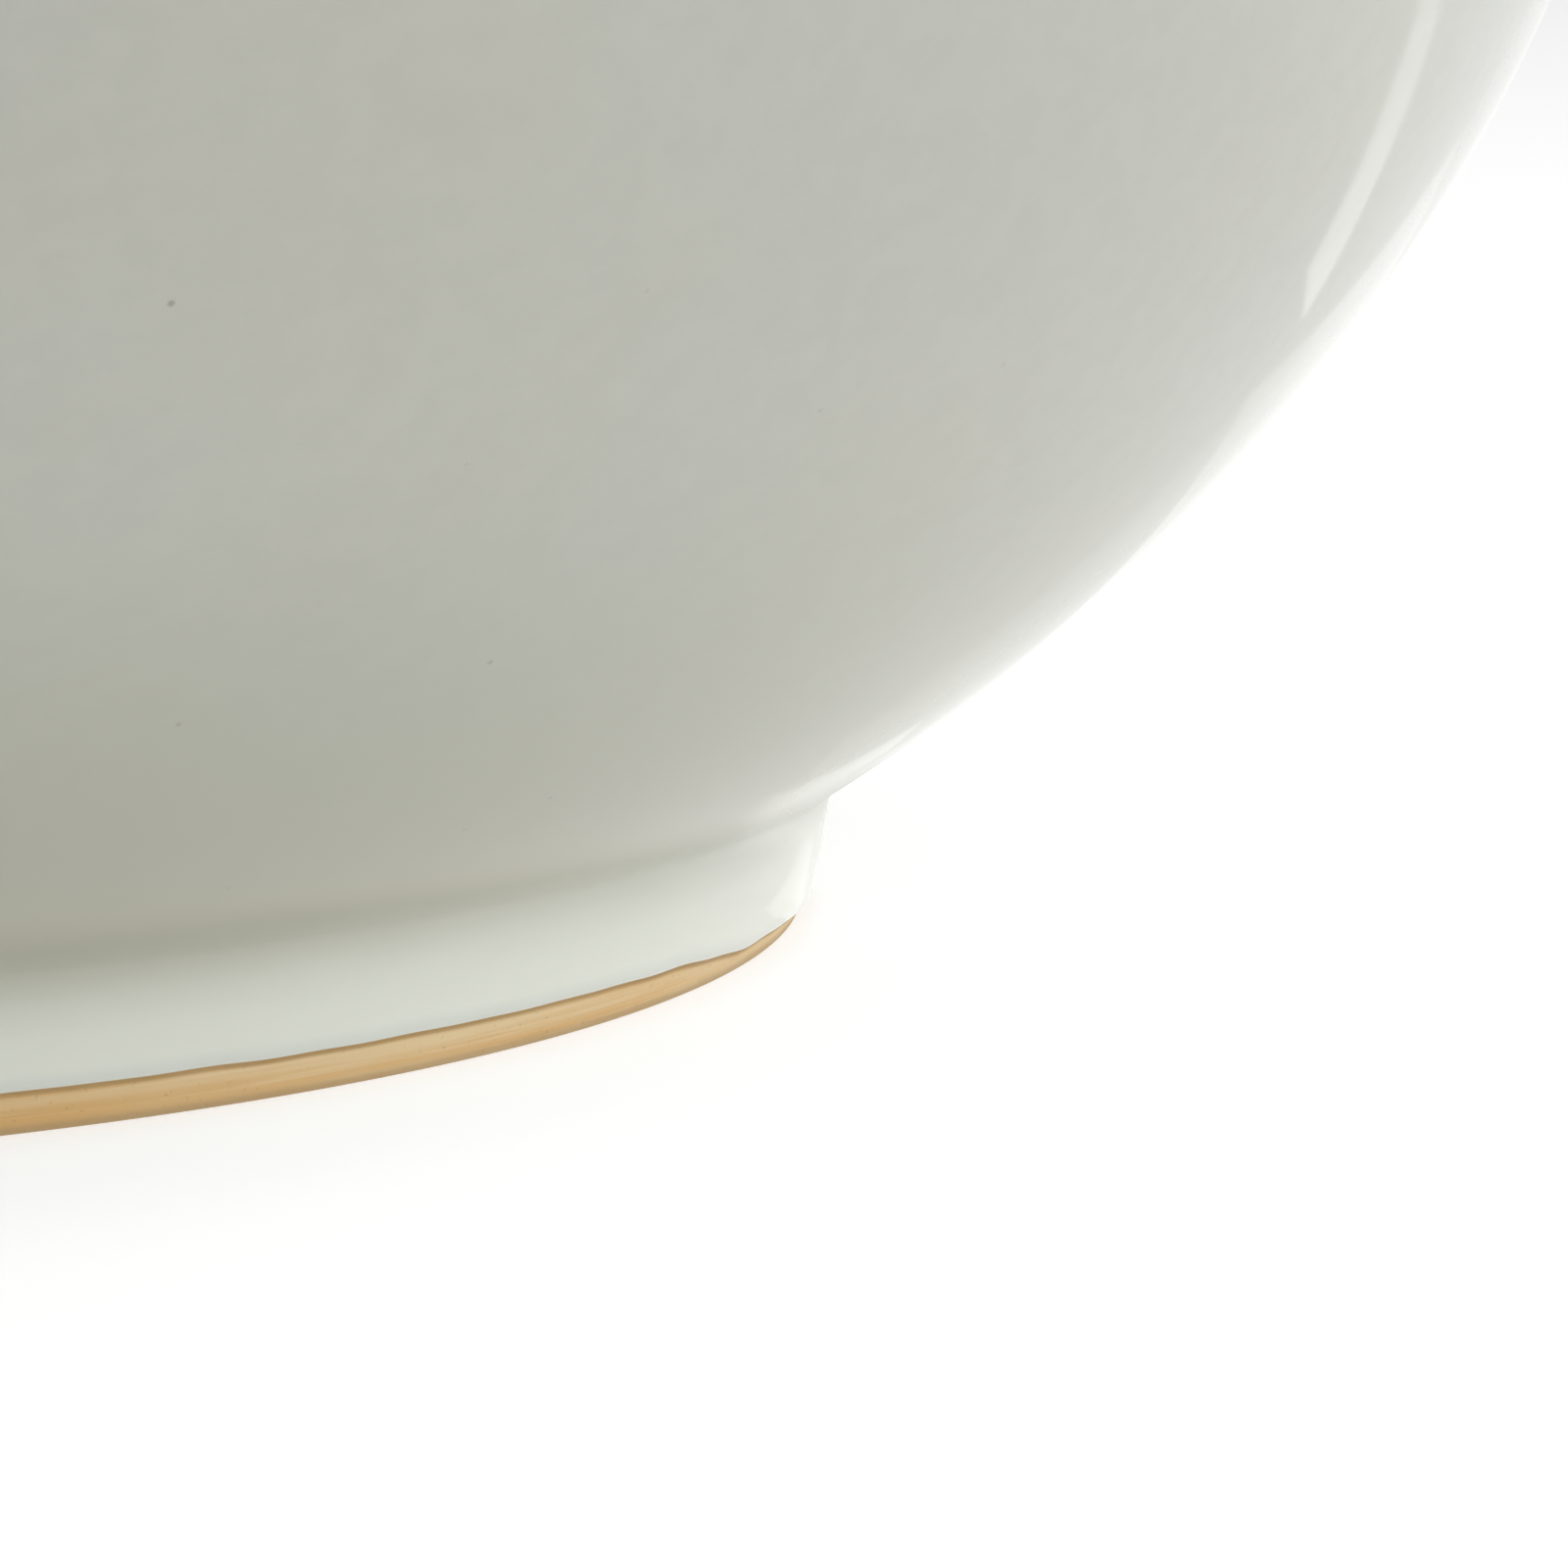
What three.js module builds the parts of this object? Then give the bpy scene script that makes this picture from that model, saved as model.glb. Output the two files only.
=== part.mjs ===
// A porcelain serving bowl: a thrown body, a foot ring luted under it, and the glaze poured over
// them in three coats. Millimetres, +Z up, with the origin on the axis at the face it stands on.
import * as THREE from "three";

const radians = THREE.MathUtils.degToRad;

// Overall size of the glazed bowl.
const rimRadius = 147;
const bowlHeight = 88;

// Foot ring: bare clay where it stands, glazed higher up.
const footRadius = 93;
const footHeight = 6.1;
const footBearingWidth = 5.2;
const footEdgeBevel = 0.3;
const footSideLowAngle = radians(65);
const footSideTopAngle = radians(88);
const footInnerAngle = radians(-84);
const footInnerCornerAngle = radians(-30);
const footInnerRoundRadius = 2.4;

// Wall: a quick turn out of the foot, then a slow curve that steepens towards the rim.
const coveRadius = 4.7;
const wallStartAngle = radians(33);
const wallRimAngle = radians(82.5);
const wallLowPull = 36;
const wallHighPull = 31;
const wallThicknessAtFoot = 7.5;
const lipThickness = 3.6;

// Base, and the floor inside, which curves up into the wall.
const baseThickness = 5;
const floorFlatPull = 60;
const floorWellPull = 9;

// Glaze.
const glazeThickness = 0.35;
const glazeEdgeRise = 0.4;
const glazeLineHeight = 2.7;
const wellGlazeLineHeight = 2.4;

// Pieces that are fused together stand this far apart, so that their facets never cross.
const meshGap = 0.02;

// Facets round the axis, and steps along each stretch of the outline.
const facets = 48;
const steps = { footSide: 2, innerRound: 2, cove: 4, wall: 11, lip: 3, floor: 6 };

// A station is a place on the outline, with the direction in which the outline runs there. Outlines
// are written with the clay on their left, so a coat of glaze lies on their right.
function station(r, z, heading) {
  return { r, z, heading };
}

function offset({ r, z, heading }, distance) {
  return station(r + distance * Math.sin(heading), z - distance * Math.cos(heading), heading);
}

// The shares of a stretch at which its stations lie, from just after its start to its end.
function shares(count) {
  return Array.from({ length: count }, (_, index) => (index + 1) / count);
}

// The stations of a round stretch that leaves `start` and turns to `endHeading`.
function arc(start, radius, endHeading, count) {
  const signedRadius = Math.sign(endHeading - start.heading) * radius;
  return shares(count).map((share) => {
    const heading = THREE.MathUtils.lerp(start.heading, endHeading, share);
    const across = signedRadius * (Math.sin(heading) - Math.sin(start.heading));
    const up = signedRadius * (Math.cos(start.heading) - Math.cos(heading));
    return station(start.r + across, start.z + up, heading);
  });
}

// A cubic curve between two stations, leaving one and reaching the other along their headings.
function easedCurve(start, startPull, end, endPull) {
  const along = ({ r, z, heading }, distance) =>
    new THREE.Vector2(r + distance * Math.cos(heading), z + distance * Math.sin(heading));
  return new THREE.CubicBezierCurve(
    along(start, 0),
    along(start, startPull),
    along(end, -endPull),
    along(end, 0),
  );
}

function stationOn(curve, share) {
  const point = curve.getPoint(share);
  const tangent = curve.getTangent(share);
  return station(point.x, point.y, Math.atan2(tangent.y, tangent.x));
}

function facingBack({ r, z, heading }) {
  return station(r, z, heading + Math.PI);
}

// Outer side of the foot, from its bevelled lower edge to the neck under the wall.
const footSideStart = station(footRadius, footEdgeBevel, footSideLowAngle);
const footSideRadius =
  (footHeight - footEdgeBevel) / (Math.cos(footSideLowAngle) - Math.cos(footSideTopAngle));

function footSideHeadingAt(height) {
  return Math.acos(Math.cos(footSideLowAngle) - (height - footEdgeBevel) / footSideRadius);
}

const [glazeLine] = arc(footSideStart, footSideRadius, footSideHeadingAt(glazeLineHeight), 1);
const glazeSwellHeading = footSideHeadingAt(glazeLineHeight + glazeEdgeRise);
const [glazeSwell] = arc(glazeLine, footSideRadius, glazeSwellHeading, 1);
const footSideUpper = arc(glazeSwell, footSideRadius, footSideTopAngle, steps.footSide);
const neck = footSideUpper.at(-1);

// Recess under the base: the ceiling, a small round, and the inner side of the foot.
const bearingInnerRadius = footRadius - footBearingWidth;

function innerSideAt(height) {
  const shift = height / Math.tan(-footInnerAngle);
  return station(bearingInnerRadius - shift, height, footInnerAngle);
}

const innerSideFoot = innerSideAt(footEdgeBevel);
const wellGlazeLine = innerSideAt(wellGlazeLineHeight);
const wellGlazeSwell = innerSideAt(wellGlazeLineHeight + glazeEdgeRise);
const innerRoundDrop =
  footInnerRoundRadius * (Math.cos(footInnerCornerAngle) - Math.cos(footInnerAngle));
const innerRoundReach =
  footInnerRoundRadius * (Math.sin(footInnerCornerAngle) - Math.sin(footInnerAngle));
const innerRoundEnd = innerSideAt(footHeight - innerRoundDrop);
const recessCorner = station(innerRoundEnd.r - innerRoundReach, footHeight, footInnerCornerAngle);
const recessRounding = arc(recessCorner, footInnerRoundRadius, footInnerAngle, steps.innerRound);

// Outer side of the wall, the round of the lip, and the inside down to the middle of the floor.
const cove = arc(neck, coveRadius, wallStartAngle, steps.cove);
const lipRadius = lipThickness / 2;
const lipCentre = station(
  rimRadius - glazeThickness - lipRadius,
  bowlHeight - glazeThickness - lipRadius,
  wallRimAngle,
);
const lipStart = offset(lipCentre, lipRadius);
const wallCurve = easedCurve(cove.at(-1), wallLowPull, lipStart, wallHighPull);
const wallOutside = shares(steps.wall).map((share) => stationOn(wallCurve, share));
const lipOutside = arc(lipStart, lipRadius, Math.PI, steps.lip);
const lipInside = arc(lipOutside.at(-1), lipRadius, Math.PI + wallRimAngle, steps.lip);

function wallThickness(share) {
  return lipThickness + (wallThicknessAtFoot - lipThickness) * (1 - share) ** 2;
}

function innerWallStation(share) {
  return facingBack(offset(stationOn(wallCurve, share), -wallThickness(share)));
}

const wallInside = shares(steps.wall).map((share) => innerWallStation(1 - share));
const wallInsideFoot = wallInside.at(-1);
const justAbove = innerWallStation(0.001);
const floorEdge = station(
  wallInsideFoot.r,
  wallInsideFoot.z,
  Math.atan2(wallInsideFoot.z - justAbove.z, wallInsideFoot.r - justAbove.r),
);
const floorCentre = station(0, footHeight + baseThickness, Math.PI);
const floorCurve = easedCurve(floorEdge, floorWellPull, floorCentre, floorFlatPull);
const floor = shares(steps.floor).map((share) => stationOn(floorCurve, share));

function solidOfRevolution(outline) {
  const points = outline.map(({ r, z }) => new THREE.Vector2(Math.max(r, 0), z));
  return new THREE.LatheGeometry(points, facets).rotateX(Math.PI / 2);
}

function piece(name, outline, material) {
  const mesh = new THREE.Mesh(solidOfRevolution(outline), material);
  mesh.name = name;
  return mesh;
}

function bareClay() {
  return new THREE.MeshStandardMaterial({ color: 0xcfb184, roughness: 0.85 });
}

function glossyGlaze() {
  return new THREE.MeshStandardMaterial({ color: 0xc9cbc0, roughness: 0.12 });
}

function closed(outline) {
  return [...outline, outline[0]];
}

// The two sides of a coat of glaze over a stretch of clay.
function coat(stations) {
  return {
    surface: stations.map((place) => offset(place, glazeThickness)),
    underside: stations.map((place) => offset(place, meshGap)).reverse(),
  };
}

function bowlBody() {
  const underBase = [station(0, footHeight, 0), recessCorner, neck];
  const outside = [...cove, ...wallOutside, ...lipOutside];
  const inside = [...lipInside, ...wallInside, ...floor];
  return piece("bowl_body", [...underBase, ...outside, ...inside], bareClay());
}

function footRing() {
  const ringTop = footHeight - meshGap;
  const inside = [
    station(recessCorner.r, ringTop, footInnerCornerAngle),
    ...recessRounding,
    wellGlazeSwell,
    wellGlazeLine,
    innerSideFoot,
  ];
  const bearing = [
    station(bearingInnerRadius + footEdgeBevel, 0, 0),
    station(footRadius - footEdgeBevel, 0, 0),
  ];
  const outside = [
    footSideStart,
    glazeLine,
    glazeSwell,
    ...footSideUpper.slice(0, -1),
    station(neck.r, ringTop, neck.heading),
  ];
  return piece("foot_ring", closed([...inside, ...bearing, ...outside]), bareClay());
}

function outerGlaze() {
  const { surface, underside } = coat([
    glazeSwell,
    ...footSideUpper,
    ...cove,
    ...wallOutside,
    ...lipOutside,
  ]);
  const edge = offset(glazeLine, meshGap);
  return piece("outer_glaze", closed([edge, ...surface, ...underside]), glossyGlaze());
}

function innerGlaze() {
  const crest = lipOutside.at(-1);
  const besideCrest = station(crest.r - meshGap, crest.z, crest.heading);
  const { surface, underside } = coat([besideCrest, ...lipInside, ...wallInside, ...floor]);
  return piece("inner_glaze", [...underside, ...surface], glossyGlaze());
}

function footWellGlaze() {
  const mitredCorner = station(recessCorner.r, recessCorner.z, footInnerCornerAngle / 2);
  const ceilingCentre = station(0, footHeight, 0);
  const { surface, underside } = coat([
    ceilingCentre,
    mitredCorner,
    ...recessRounding,
    wellGlazeSwell,
  ]);
  const edge = offset(wellGlazeLine, meshGap);
  return piece("foot_well_glaze", [...surface, edge, ...underside], glossyGlaze());
}

const bowl = new THREE.Group();
bowl.add(bowlBody(), footRing(), outerGlaze(), innerGlaze(), footWellGlaze());

export default bowl;
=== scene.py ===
"""Looks of a porcelain serving bowl, in metres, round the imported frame: the thrown body, the foot ring
under it and three coats of glaze, on a plain pale floor under soft studio light."""

import math
import random

import bpy
import numpy as np
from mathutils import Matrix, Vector


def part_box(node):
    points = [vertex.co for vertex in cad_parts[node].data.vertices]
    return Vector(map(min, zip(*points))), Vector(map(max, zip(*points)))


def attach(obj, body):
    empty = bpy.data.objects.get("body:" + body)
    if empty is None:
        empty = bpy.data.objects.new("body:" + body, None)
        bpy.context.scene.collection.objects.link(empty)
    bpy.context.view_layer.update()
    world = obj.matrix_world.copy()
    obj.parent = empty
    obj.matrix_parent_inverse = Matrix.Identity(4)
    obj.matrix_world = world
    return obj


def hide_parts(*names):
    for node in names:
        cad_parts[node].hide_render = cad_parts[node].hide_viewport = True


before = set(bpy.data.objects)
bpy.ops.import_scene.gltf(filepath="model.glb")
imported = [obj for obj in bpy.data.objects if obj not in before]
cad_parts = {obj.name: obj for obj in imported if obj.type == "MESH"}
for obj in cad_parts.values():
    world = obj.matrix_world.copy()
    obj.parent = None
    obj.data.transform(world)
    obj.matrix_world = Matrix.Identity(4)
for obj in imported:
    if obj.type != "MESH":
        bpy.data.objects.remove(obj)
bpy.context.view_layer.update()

MM = 0.001

# ---------------------------------------------------------------------------------------------
# Sizes. The overall ones come from the frame, and the rest repeat the shape of the CAD outline.
# ---------------------------------------------------------------------------------------------
RIM_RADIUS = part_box("outer_glaze")[1].x
BOWL_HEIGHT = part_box("outer_glaze")[1].z
FOOT_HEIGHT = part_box("bowl_body")[0].z

FOOT_RADIUS = 93 * MM
FOOT_BEARING_WIDTH = 5.2 * MM
FOOT_EDGE_BEVEL = 0.3 * MM
FOOT_SIDE_LOW_ANGLE = math.radians(65)
FOOT_SIDE_TOP_ANGLE = math.radians(88)
FOOT_INNER_ANGLE = math.radians(-84)
FOOT_INNER_CORNER_ANGLE = math.radians(-30)
FOOT_INNER_ROUND_RADIUS = 2.4 * MM

COVE_RADIUS = 4.7 * MM
WALL_START_ANGLE = math.radians(33)
WALL_RIM_ANGLE = math.radians(82.5)
WALL_LOW_PULL = 36 * MM
WALL_HIGH_PULL = 31 * MM
WALL_THICKNESS_AT_FOOT = 7.5 * MM
LIP_THICKNESS = 3.6 * MM
BASE_THICKNESS = 5 * MM
FLOOR_FLAT_PULL = 60 * MM
FLOOR_WELL_PULL = 9 * MM

GLAZE_THICKNESS = 0.35 * MM
GLAZE_ROLL = 0.45 * MM
GLAZE_BEAD = 0.07 * MM
GLAZE_LINE_HEIGHT = 2.5 * MM
WELL_GLAZE_LINE_HEIGHT = 2.4 * MM
PIECE_GAP = 0.02 * MM

# Segments round the bowl, and steps along each stretch of an outline.
SEGMENTS = 900
ANGLES = np.linspace(0, 2 * math.pi, SEGMENTS, endpoint=False)
COVE_STEPS = 16
WALL_STEPS = 36
LIP_STEPS = 9
FLOOR_STEPS = 34
ROUNDING_STEPS = 10


# ---------------------------------------------------------------------------------------------
# Outlines. An outline is an array of places (radius, height, heading), with the clay on the left
# of its heading. A leading axis, where there is one, goes round the bowl.
# ---------------------------------------------------------------------------------------------
def place(r, z, heading):
    return np.stack(np.broadcast_arrays(r, z, heading), axis=-1).astype(float)


def offset(places, distance):
    r, z, heading = np.moveaxis(places, -1, 0)
    return place(r + distance * np.sin(heading), z - distance * np.cos(heading), heading)


def shares(count):
    return np.arange(1, count + 1) / count


def arc(start, radius, end_heading, count):
    """The places of a round stretch that leaves start and turns to end_heading."""
    r, z, heading = start
    signed_radius = math.copysign(radius, end_heading - heading)
    headings = heading + (end_heading - heading) * shares(count)
    across = signed_radius * (np.sin(headings) - math.sin(heading))
    up = signed_radius * (math.cos(heading) - np.cos(headings))
    return place(r + across, z + up, headings)


def eased_curve(start, start_pull, end, end_pull):
    """A cubic curve between two places, as a function from shares of it to places."""

    def along(at, distance):
        return np.array([at[0] + distance * math.cos(at[2]), at[1] + distance * math.sin(at[2])])

    a, b, c, d = along(start, 0), along(start, start_pull), along(end, -end_pull), along(end, 0)

    def places_at(share):
        t = np.atleast_1d(share)[:, None]
        s = 1 - t
        point = s**3 * a + 3 * s**2 * t * b + 3 * s * t**2 * c + t**3 * d
        slope = s**2 * (b - a) + 2 * s * t * (c - b) + t**2 * (d - c)
        return place(point[:, 0], point[:, 1], np.arctan2(slope[:, 1], slope[:, 0]))

    return places_at


def turned_round(places):
    """The same places, passed in the other direction."""
    back = places[..., ::-1, :].copy()
    back[..., 2] += math.pi
    return back


def join(*stretches):
    """One outline from stretches, the plain ones repeated where another goes round the bowl."""
    stretches = [np.atleast_2d(stretch) for stretch in stretches]
    rounds = max((s.shape[0] for s in stretches if s.ndim == 3), default=1)
    full = [np.broadcast_to(s, (rounds, *s.shape[-2:])) for s in stretches]
    return np.concatenate(full, axis=1)


WANDER_WAVES = 14
WANDER_FADE = 0.6


def wander(seed, slowest, fastest, height):
    """A slightly uneven line round the bowl, at each of ANGLES, never more than 2 heights from 0.
    It is a sum of waves, and the more often a wave repeats round the bowl, the weaker it is."""
    draw = random.Random(seed)
    counts = [draw.randint(slowest, fastest) for _ in range(WANDER_WAVES)]
    weights = [(slowest / count) ** WANDER_FADE for count in counts]
    line = np.zeros(SEGMENTS)
    for count, weight in zip(counts, weights):
        line += weight * np.cos(count * ANGLES + draw.uniform(0, 2 * math.pi))
    return height * line / sum(weights) * 2


# The outer side of the foot, its neck, the wall and the lip, as the clay runs under the glaze.
FOOT_SIDE_RADIUS = (FOOT_HEIGHT - FOOT_EDGE_BEVEL) / (
    math.cos(FOOT_SIDE_LOW_ANGLE) - math.cos(FOOT_SIDE_TOP_ANGLE)
)


def foot_side_at(height):
    drop = (height - FOOT_EDGE_BEVEL) / FOOT_SIDE_RADIUS
    heading = np.arccos(math.cos(FOOT_SIDE_LOW_ANGLE) - drop)
    r = FOOT_RADIUS + FOOT_SIDE_RADIUS * (np.sin(heading) - math.sin(FOOT_SIDE_LOW_ANGLE))
    return place(r, height, heading)


BEARING_INNER_RADIUS = FOOT_RADIUS - FOOT_BEARING_WIDTH


def foot_inner_side_at(height):
    r = BEARING_INNER_RADIUS - height / math.tan(-FOOT_INNER_ANGLE)
    return place(r, height, FOOT_INNER_ANGLE)


INNER_ROUND_DROP = FOOT_INNER_ROUND_RADIUS * (
    math.cos(FOOT_INNER_CORNER_ANGLE) - math.cos(FOOT_INNER_ANGLE)
)
INNER_ROUND_REACH = FOOT_INNER_ROUND_RADIUS * (
    math.sin(FOOT_INNER_CORNER_ANGLE) - math.sin(FOOT_INNER_ANGLE)
)
INNER_ROUND_END_HEIGHT = FOOT_HEIGHT - INNER_ROUND_DROP
RECESS_CORNER = place(
    foot_inner_side_at(INNER_ROUND_END_HEIGHT)[0] - INNER_ROUND_REACH,
    FOOT_HEIGHT,
    FOOT_INNER_CORNER_ANGLE,
)
RECESS_ROUNDING = arc(
    RECESS_CORNER, FOOT_INNER_ROUND_RADIUS, FOOT_INNER_ANGLE, ROUNDING_STEPS
)

NECK = foot_side_at(FOOT_HEIGHT)
COVE = arc(NECK, COVE_RADIUS, WALL_START_ANGLE, COVE_STEPS)
LIP_RADIUS = LIP_THICKNESS / 2
LIP_CENTRE = place(
    RIM_RADIUS - GLAZE_THICKNESS - LIP_RADIUS,
    BOWL_HEIGHT - GLAZE_THICKNESS - LIP_RADIUS,
    WALL_RIM_ANGLE,
)
LIP_START = offset(LIP_CENTRE, LIP_RADIUS)
wall_curve = eased_curve(COVE[-1], WALL_LOW_PULL, LIP_START, WALL_HIGH_PULL)
WALL_OUTSIDE = wall_curve(shares(WALL_STEPS))
LIP_OUTSIDE = arc(LIP_START, LIP_RADIUS, math.pi, LIP_STEPS)
LIP_INSIDE = arc(LIP_OUTSIDE[-1], LIP_RADIUS, math.pi + WALL_RIM_ANGLE, LIP_STEPS)


def inner_wall(share):
    thickness = LIP_THICKNESS + (WALL_THICKNESS_AT_FOOT - LIP_THICKNESS) * (1 - share) ** 2
    return offset(wall_curve(share), -thickness)


WALL_INSIDE = turned_round(inner_wall(np.append(0, shares(WALL_STEPS)[:-1])))


def floor_edge():
    """The foot of the wall inside, with the heading in which the wall comes down to it."""
    (foot_r, foot_z, _), (above_r, above_z, _) = inner_wall(np.array([0, 0.001]))
    return place(foot_r, foot_z, math.atan2(foot_z - above_z, foot_r - above_r))


FLOOR_CENTRE = place(0, FOOT_HEIGHT + BASE_THICKNESS, math.pi)
floor_curve = eased_curve(floor_edge(), FLOOR_WELL_PULL, FLOOR_CENTRE, FLOOR_FLAT_PULL)
FLOOR = floor_curve(shares(FLOOR_STEPS))


# Where the glaze was wiped off the foot: an uneven line that dips where the glaze ran down.
def dip(centre_degrees, width_degrees, depth):
    away = np.degrees(ANGLES) - centre_degrees
    away = (away + 180) % 360 - 180
    return depth * np.exp(-((away / width_degrees) ** 2))


# Runs of glaze on the foot: angle and spread in degrees, and depth in millimetres.
GLAZE_RUNS = [
    (-8, 22, 1.68),
    (-29, 3.2, 0.3),
    (64, 9, 0.5),
    (121, 15, 0.8),
    (171, 5, 0.35),
    (228, 12, 0.6),
]


def runs():
    """How far the glaze runs down below its line, at each of ANGLES."""
    return sum(dip(centre, width, depth * MM) for centre, width, depth in GLAZE_RUNS)


GLAZE_LINE = GLAZE_LINE_HEIGHT - runs() + wander(3, 9, 110, 0.065 * MM)
WELL_GLAZE_LINE = WELL_GLAZE_LINE_HEIGHT + wander(5, 3, 80, 0.25 * MM)


# ---------------------------------------------------------------------------------------------
# Solids of revolution.
# ---------------------------------------------------------------------------------------------
def all_round(places):
    """Plain places, repeated at each of ANGLES."""
    return np.broadcast_to(places, (SEGMENTS, *places.shape[-2:]))


def arc_lengths(places):
    steps = np.hypot(np.diff(places[..., 0], axis=1), np.diff(places[..., 1], axis=1))
    return np.concatenate([np.zeros((places.shape[0], 1)), np.cumsum(steps, axis=1)], axis=1)


# The waves of an undulation: how many, how often one repeats round the bowl, how long one is
# along the outline in millimetres, and what their sum is divided by.
UNDULATION_WAVES = 18
UNDULATION_COUNTS = (2, 26)
UNDULATION_LENGTHS = (18, 60)
UNDULATION_SPREAD = 6


def undulation(seed, outline, height):
    """A soft unevenness of the surface along a plain outline and round the bowl."""
    draw = random.Random(seed)
    lengths = arc_lengths(outline[None])
    total = np.zeros((SEGMENTS, len(outline)))
    for _ in range(UNDULATION_WAVES):
        count = draw.randint(*UNDULATION_COUNTS)
        wavelength = draw.uniform(*UNDULATION_LENGTHS) * MM
        phase = draw.uniform(0, 2 * math.pi)
        total += np.cos(count * ANGLES[:, None] + 2 * math.pi * lengths / wavelength + phase)
    return height * total / UNDULATION_SPREAD


ON_AXIS_RADIUS = 1e-9


def vertex_grid(places):
    """The vertices of an outline taken round the bowl, the index of each of its places, and
    which of its places lie on the axis."""
    places = all_round(places)
    count = places.shape[1]
    on_axis = np.all(places[..., 0] < ON_AXIS_RADIUS, axis=0)
    index = np.zeros((SEGMENTS, count), int)
    vertices = []
    used = 0
    for column in range(count):
        r, z = places[:, column, 0], places[:, column, 1]
        if on_axis[column]:
            vertices.append([[0.0, 0.0, z[0]]])
            index[:, column] = used
            used += 1
        else:
            vertices.append(np.stack([r * np.cos(ANGLES), r * np.sin(ANGLES), z], axis=1))
            index[:, column] = used + np.arange(SEGMENTS)
            used += SEGMENTS
    return np.concatenate(vertices), index, on_axis


def faces_between(here, there, low, high, here_on_axis, there_on_axis):
    """The faces between two neighbouring places of an outline, taken round the bowl, and their
    corners on the UV map, where low and high are the two places' heights."""
    next_here, next_there = np.roll(here, -1), np.roll(there, -1)
    faces, uvs = [], []
    for i in range(SEGMENTS):
        left, right = i / SEGMENTS, (i + 1) / SEGMENTS
        middle = (left + right) / 2
        if here_on_axis:
            faces.append((here[i], next_there[i], there[i]))
            uvs += [(middle, low), (right, high), (left, high)]
        elif there_on_axis:
            faces.append((here[i], next_here[i], there[i]))
            uvs += [(left, low), (right, low), (middle, high)]
        else:
            faces.append((here[i], next_here[i], next_there[i], there[i]))
            uvs += [(left, low), (right, low), (right, high), (left, high)]
    return faces, uvs


def store_measure(mesh, name, values, index):
    """Gives each vertex of a mesh the value of its place."""
    stored = np.zeros(len(mesh.vertices))
    for column in range(values.shape[1]):
        stored[index[:, column]] = values[:, column]
    attribute = mesh.attributes.new(name, "FLOAT", "POINT")
    attribute.data.foreach_set("value", stored.astype(np.float32))


SHARP_ANGLE = math.radians(40)


def revolve(name, outline, closed, measures=None):
    """A solid of revolution with a UV map of angle by length. A measure is a named number that
    each place of the outline carries, such as its distance from the edge of the glaze."""
    vertices, index, on_axis = vertex_grid(outline)
    if closed:
        outline = np.concatenate([outline, outline[:, :1]], axis=1)
        index = np.concatenate([index, index[:, :1]], axis=1)
        on_axis = np.append(on_axis, on_axis[0])
    lengths = arc_lengths(outline).mean(axis=0)
    along = lengths / lengths[-1]
    faces, uvs = [], []
    for column in range(index.shape[1] - 1):
        onward = column + 1
        new_faces, new_uvs = faces_between(
            index[:, column],
            index[:, onward],
            along[column],
            along[onward],
            on_axis[column],
            on_axis[onward],
        )
        faces += new_faces
        uvs += new_uvs
    mesh = bpy.data.meshes.new(name)
    mesh.from_pydata(vertices.tolist(), [], [tuple(int(v) for v in face) for face in faces])
    layer = mesh.uv_layers.new(name="OFBake")
    layer.data.foreach_set("uv", np.array(uvs, float).ravel())
    for measure, values in (measures or {}).items():
        store_measure(mesh, measure, values, index)
    mesh.shade_smooth()
    mesh.set_sharp_from_angle(angle=SHARP_ANGLE)
    piece = bpy.data.objects.new(name, mesh)
    bpy.context.scene.collection.objects.link(piece)
    return piece


# ---------------------------------------------------------------------------------------------
# Pieces.
# ---------------------------------------------------------------------------------------------
# Steps up the glazed side of the foot, outside and inside, and how much closer together they
# are at the edge of the glaze.
OUTER_EDGE_STEPS = 22
WELL_EDGE_STEPS = 16
EDGE_CROWDING = 1.8

# The bead is where the glaze is thickest, a little above its edge.
BEAD_RISE = 0.9 * MM
BEAD_SPREAD = 0.6 * MM

# The hidden underside of a coat keeps only every few of the places of its surface.
UNDERSIDE_STRIDE = 4
UNDERSIDE_SIDE_START = 4
UNDERSIDE_SIDE_STRIDE = 6
WELL_UNDERSIDE_STRIDE = 3


def edge_heights(line, top, count):
    """Heights from an uneven line up to an even one, close together where the glaze rolls over."""
    spread = shares(count) ** EDGE_CROWDING
    return line[:, None] + (top - line)[:, None] * spread[None, :]


def rolled_thickness(rise):
    """The glaze's thickness at a rise above its edge: a round end, a bead, then the plain coat."""
    roll = np.clip(rise / GLAZE_ROLL, 0, 1)
    bead = GLAZE_BEAD * np.exp(-(((rise - BEAD_RISE) / BEAD_SPREAD) ** 2))
    return np.maximum(GLAZE_THICKNESS * np.sqrt(1 - (1 - roll) ** 2), PIECE_GAP) + bead * roll


# The unevenness of the two coats. Inside, it fades out over the last steps to the middle.
OUTSIDE_UNEVENNESS = 0.004 * MM
INSIDE_UNEVENNESS = 0.008 * MM
EVEN_FLOOR_STEPS = 12


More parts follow.
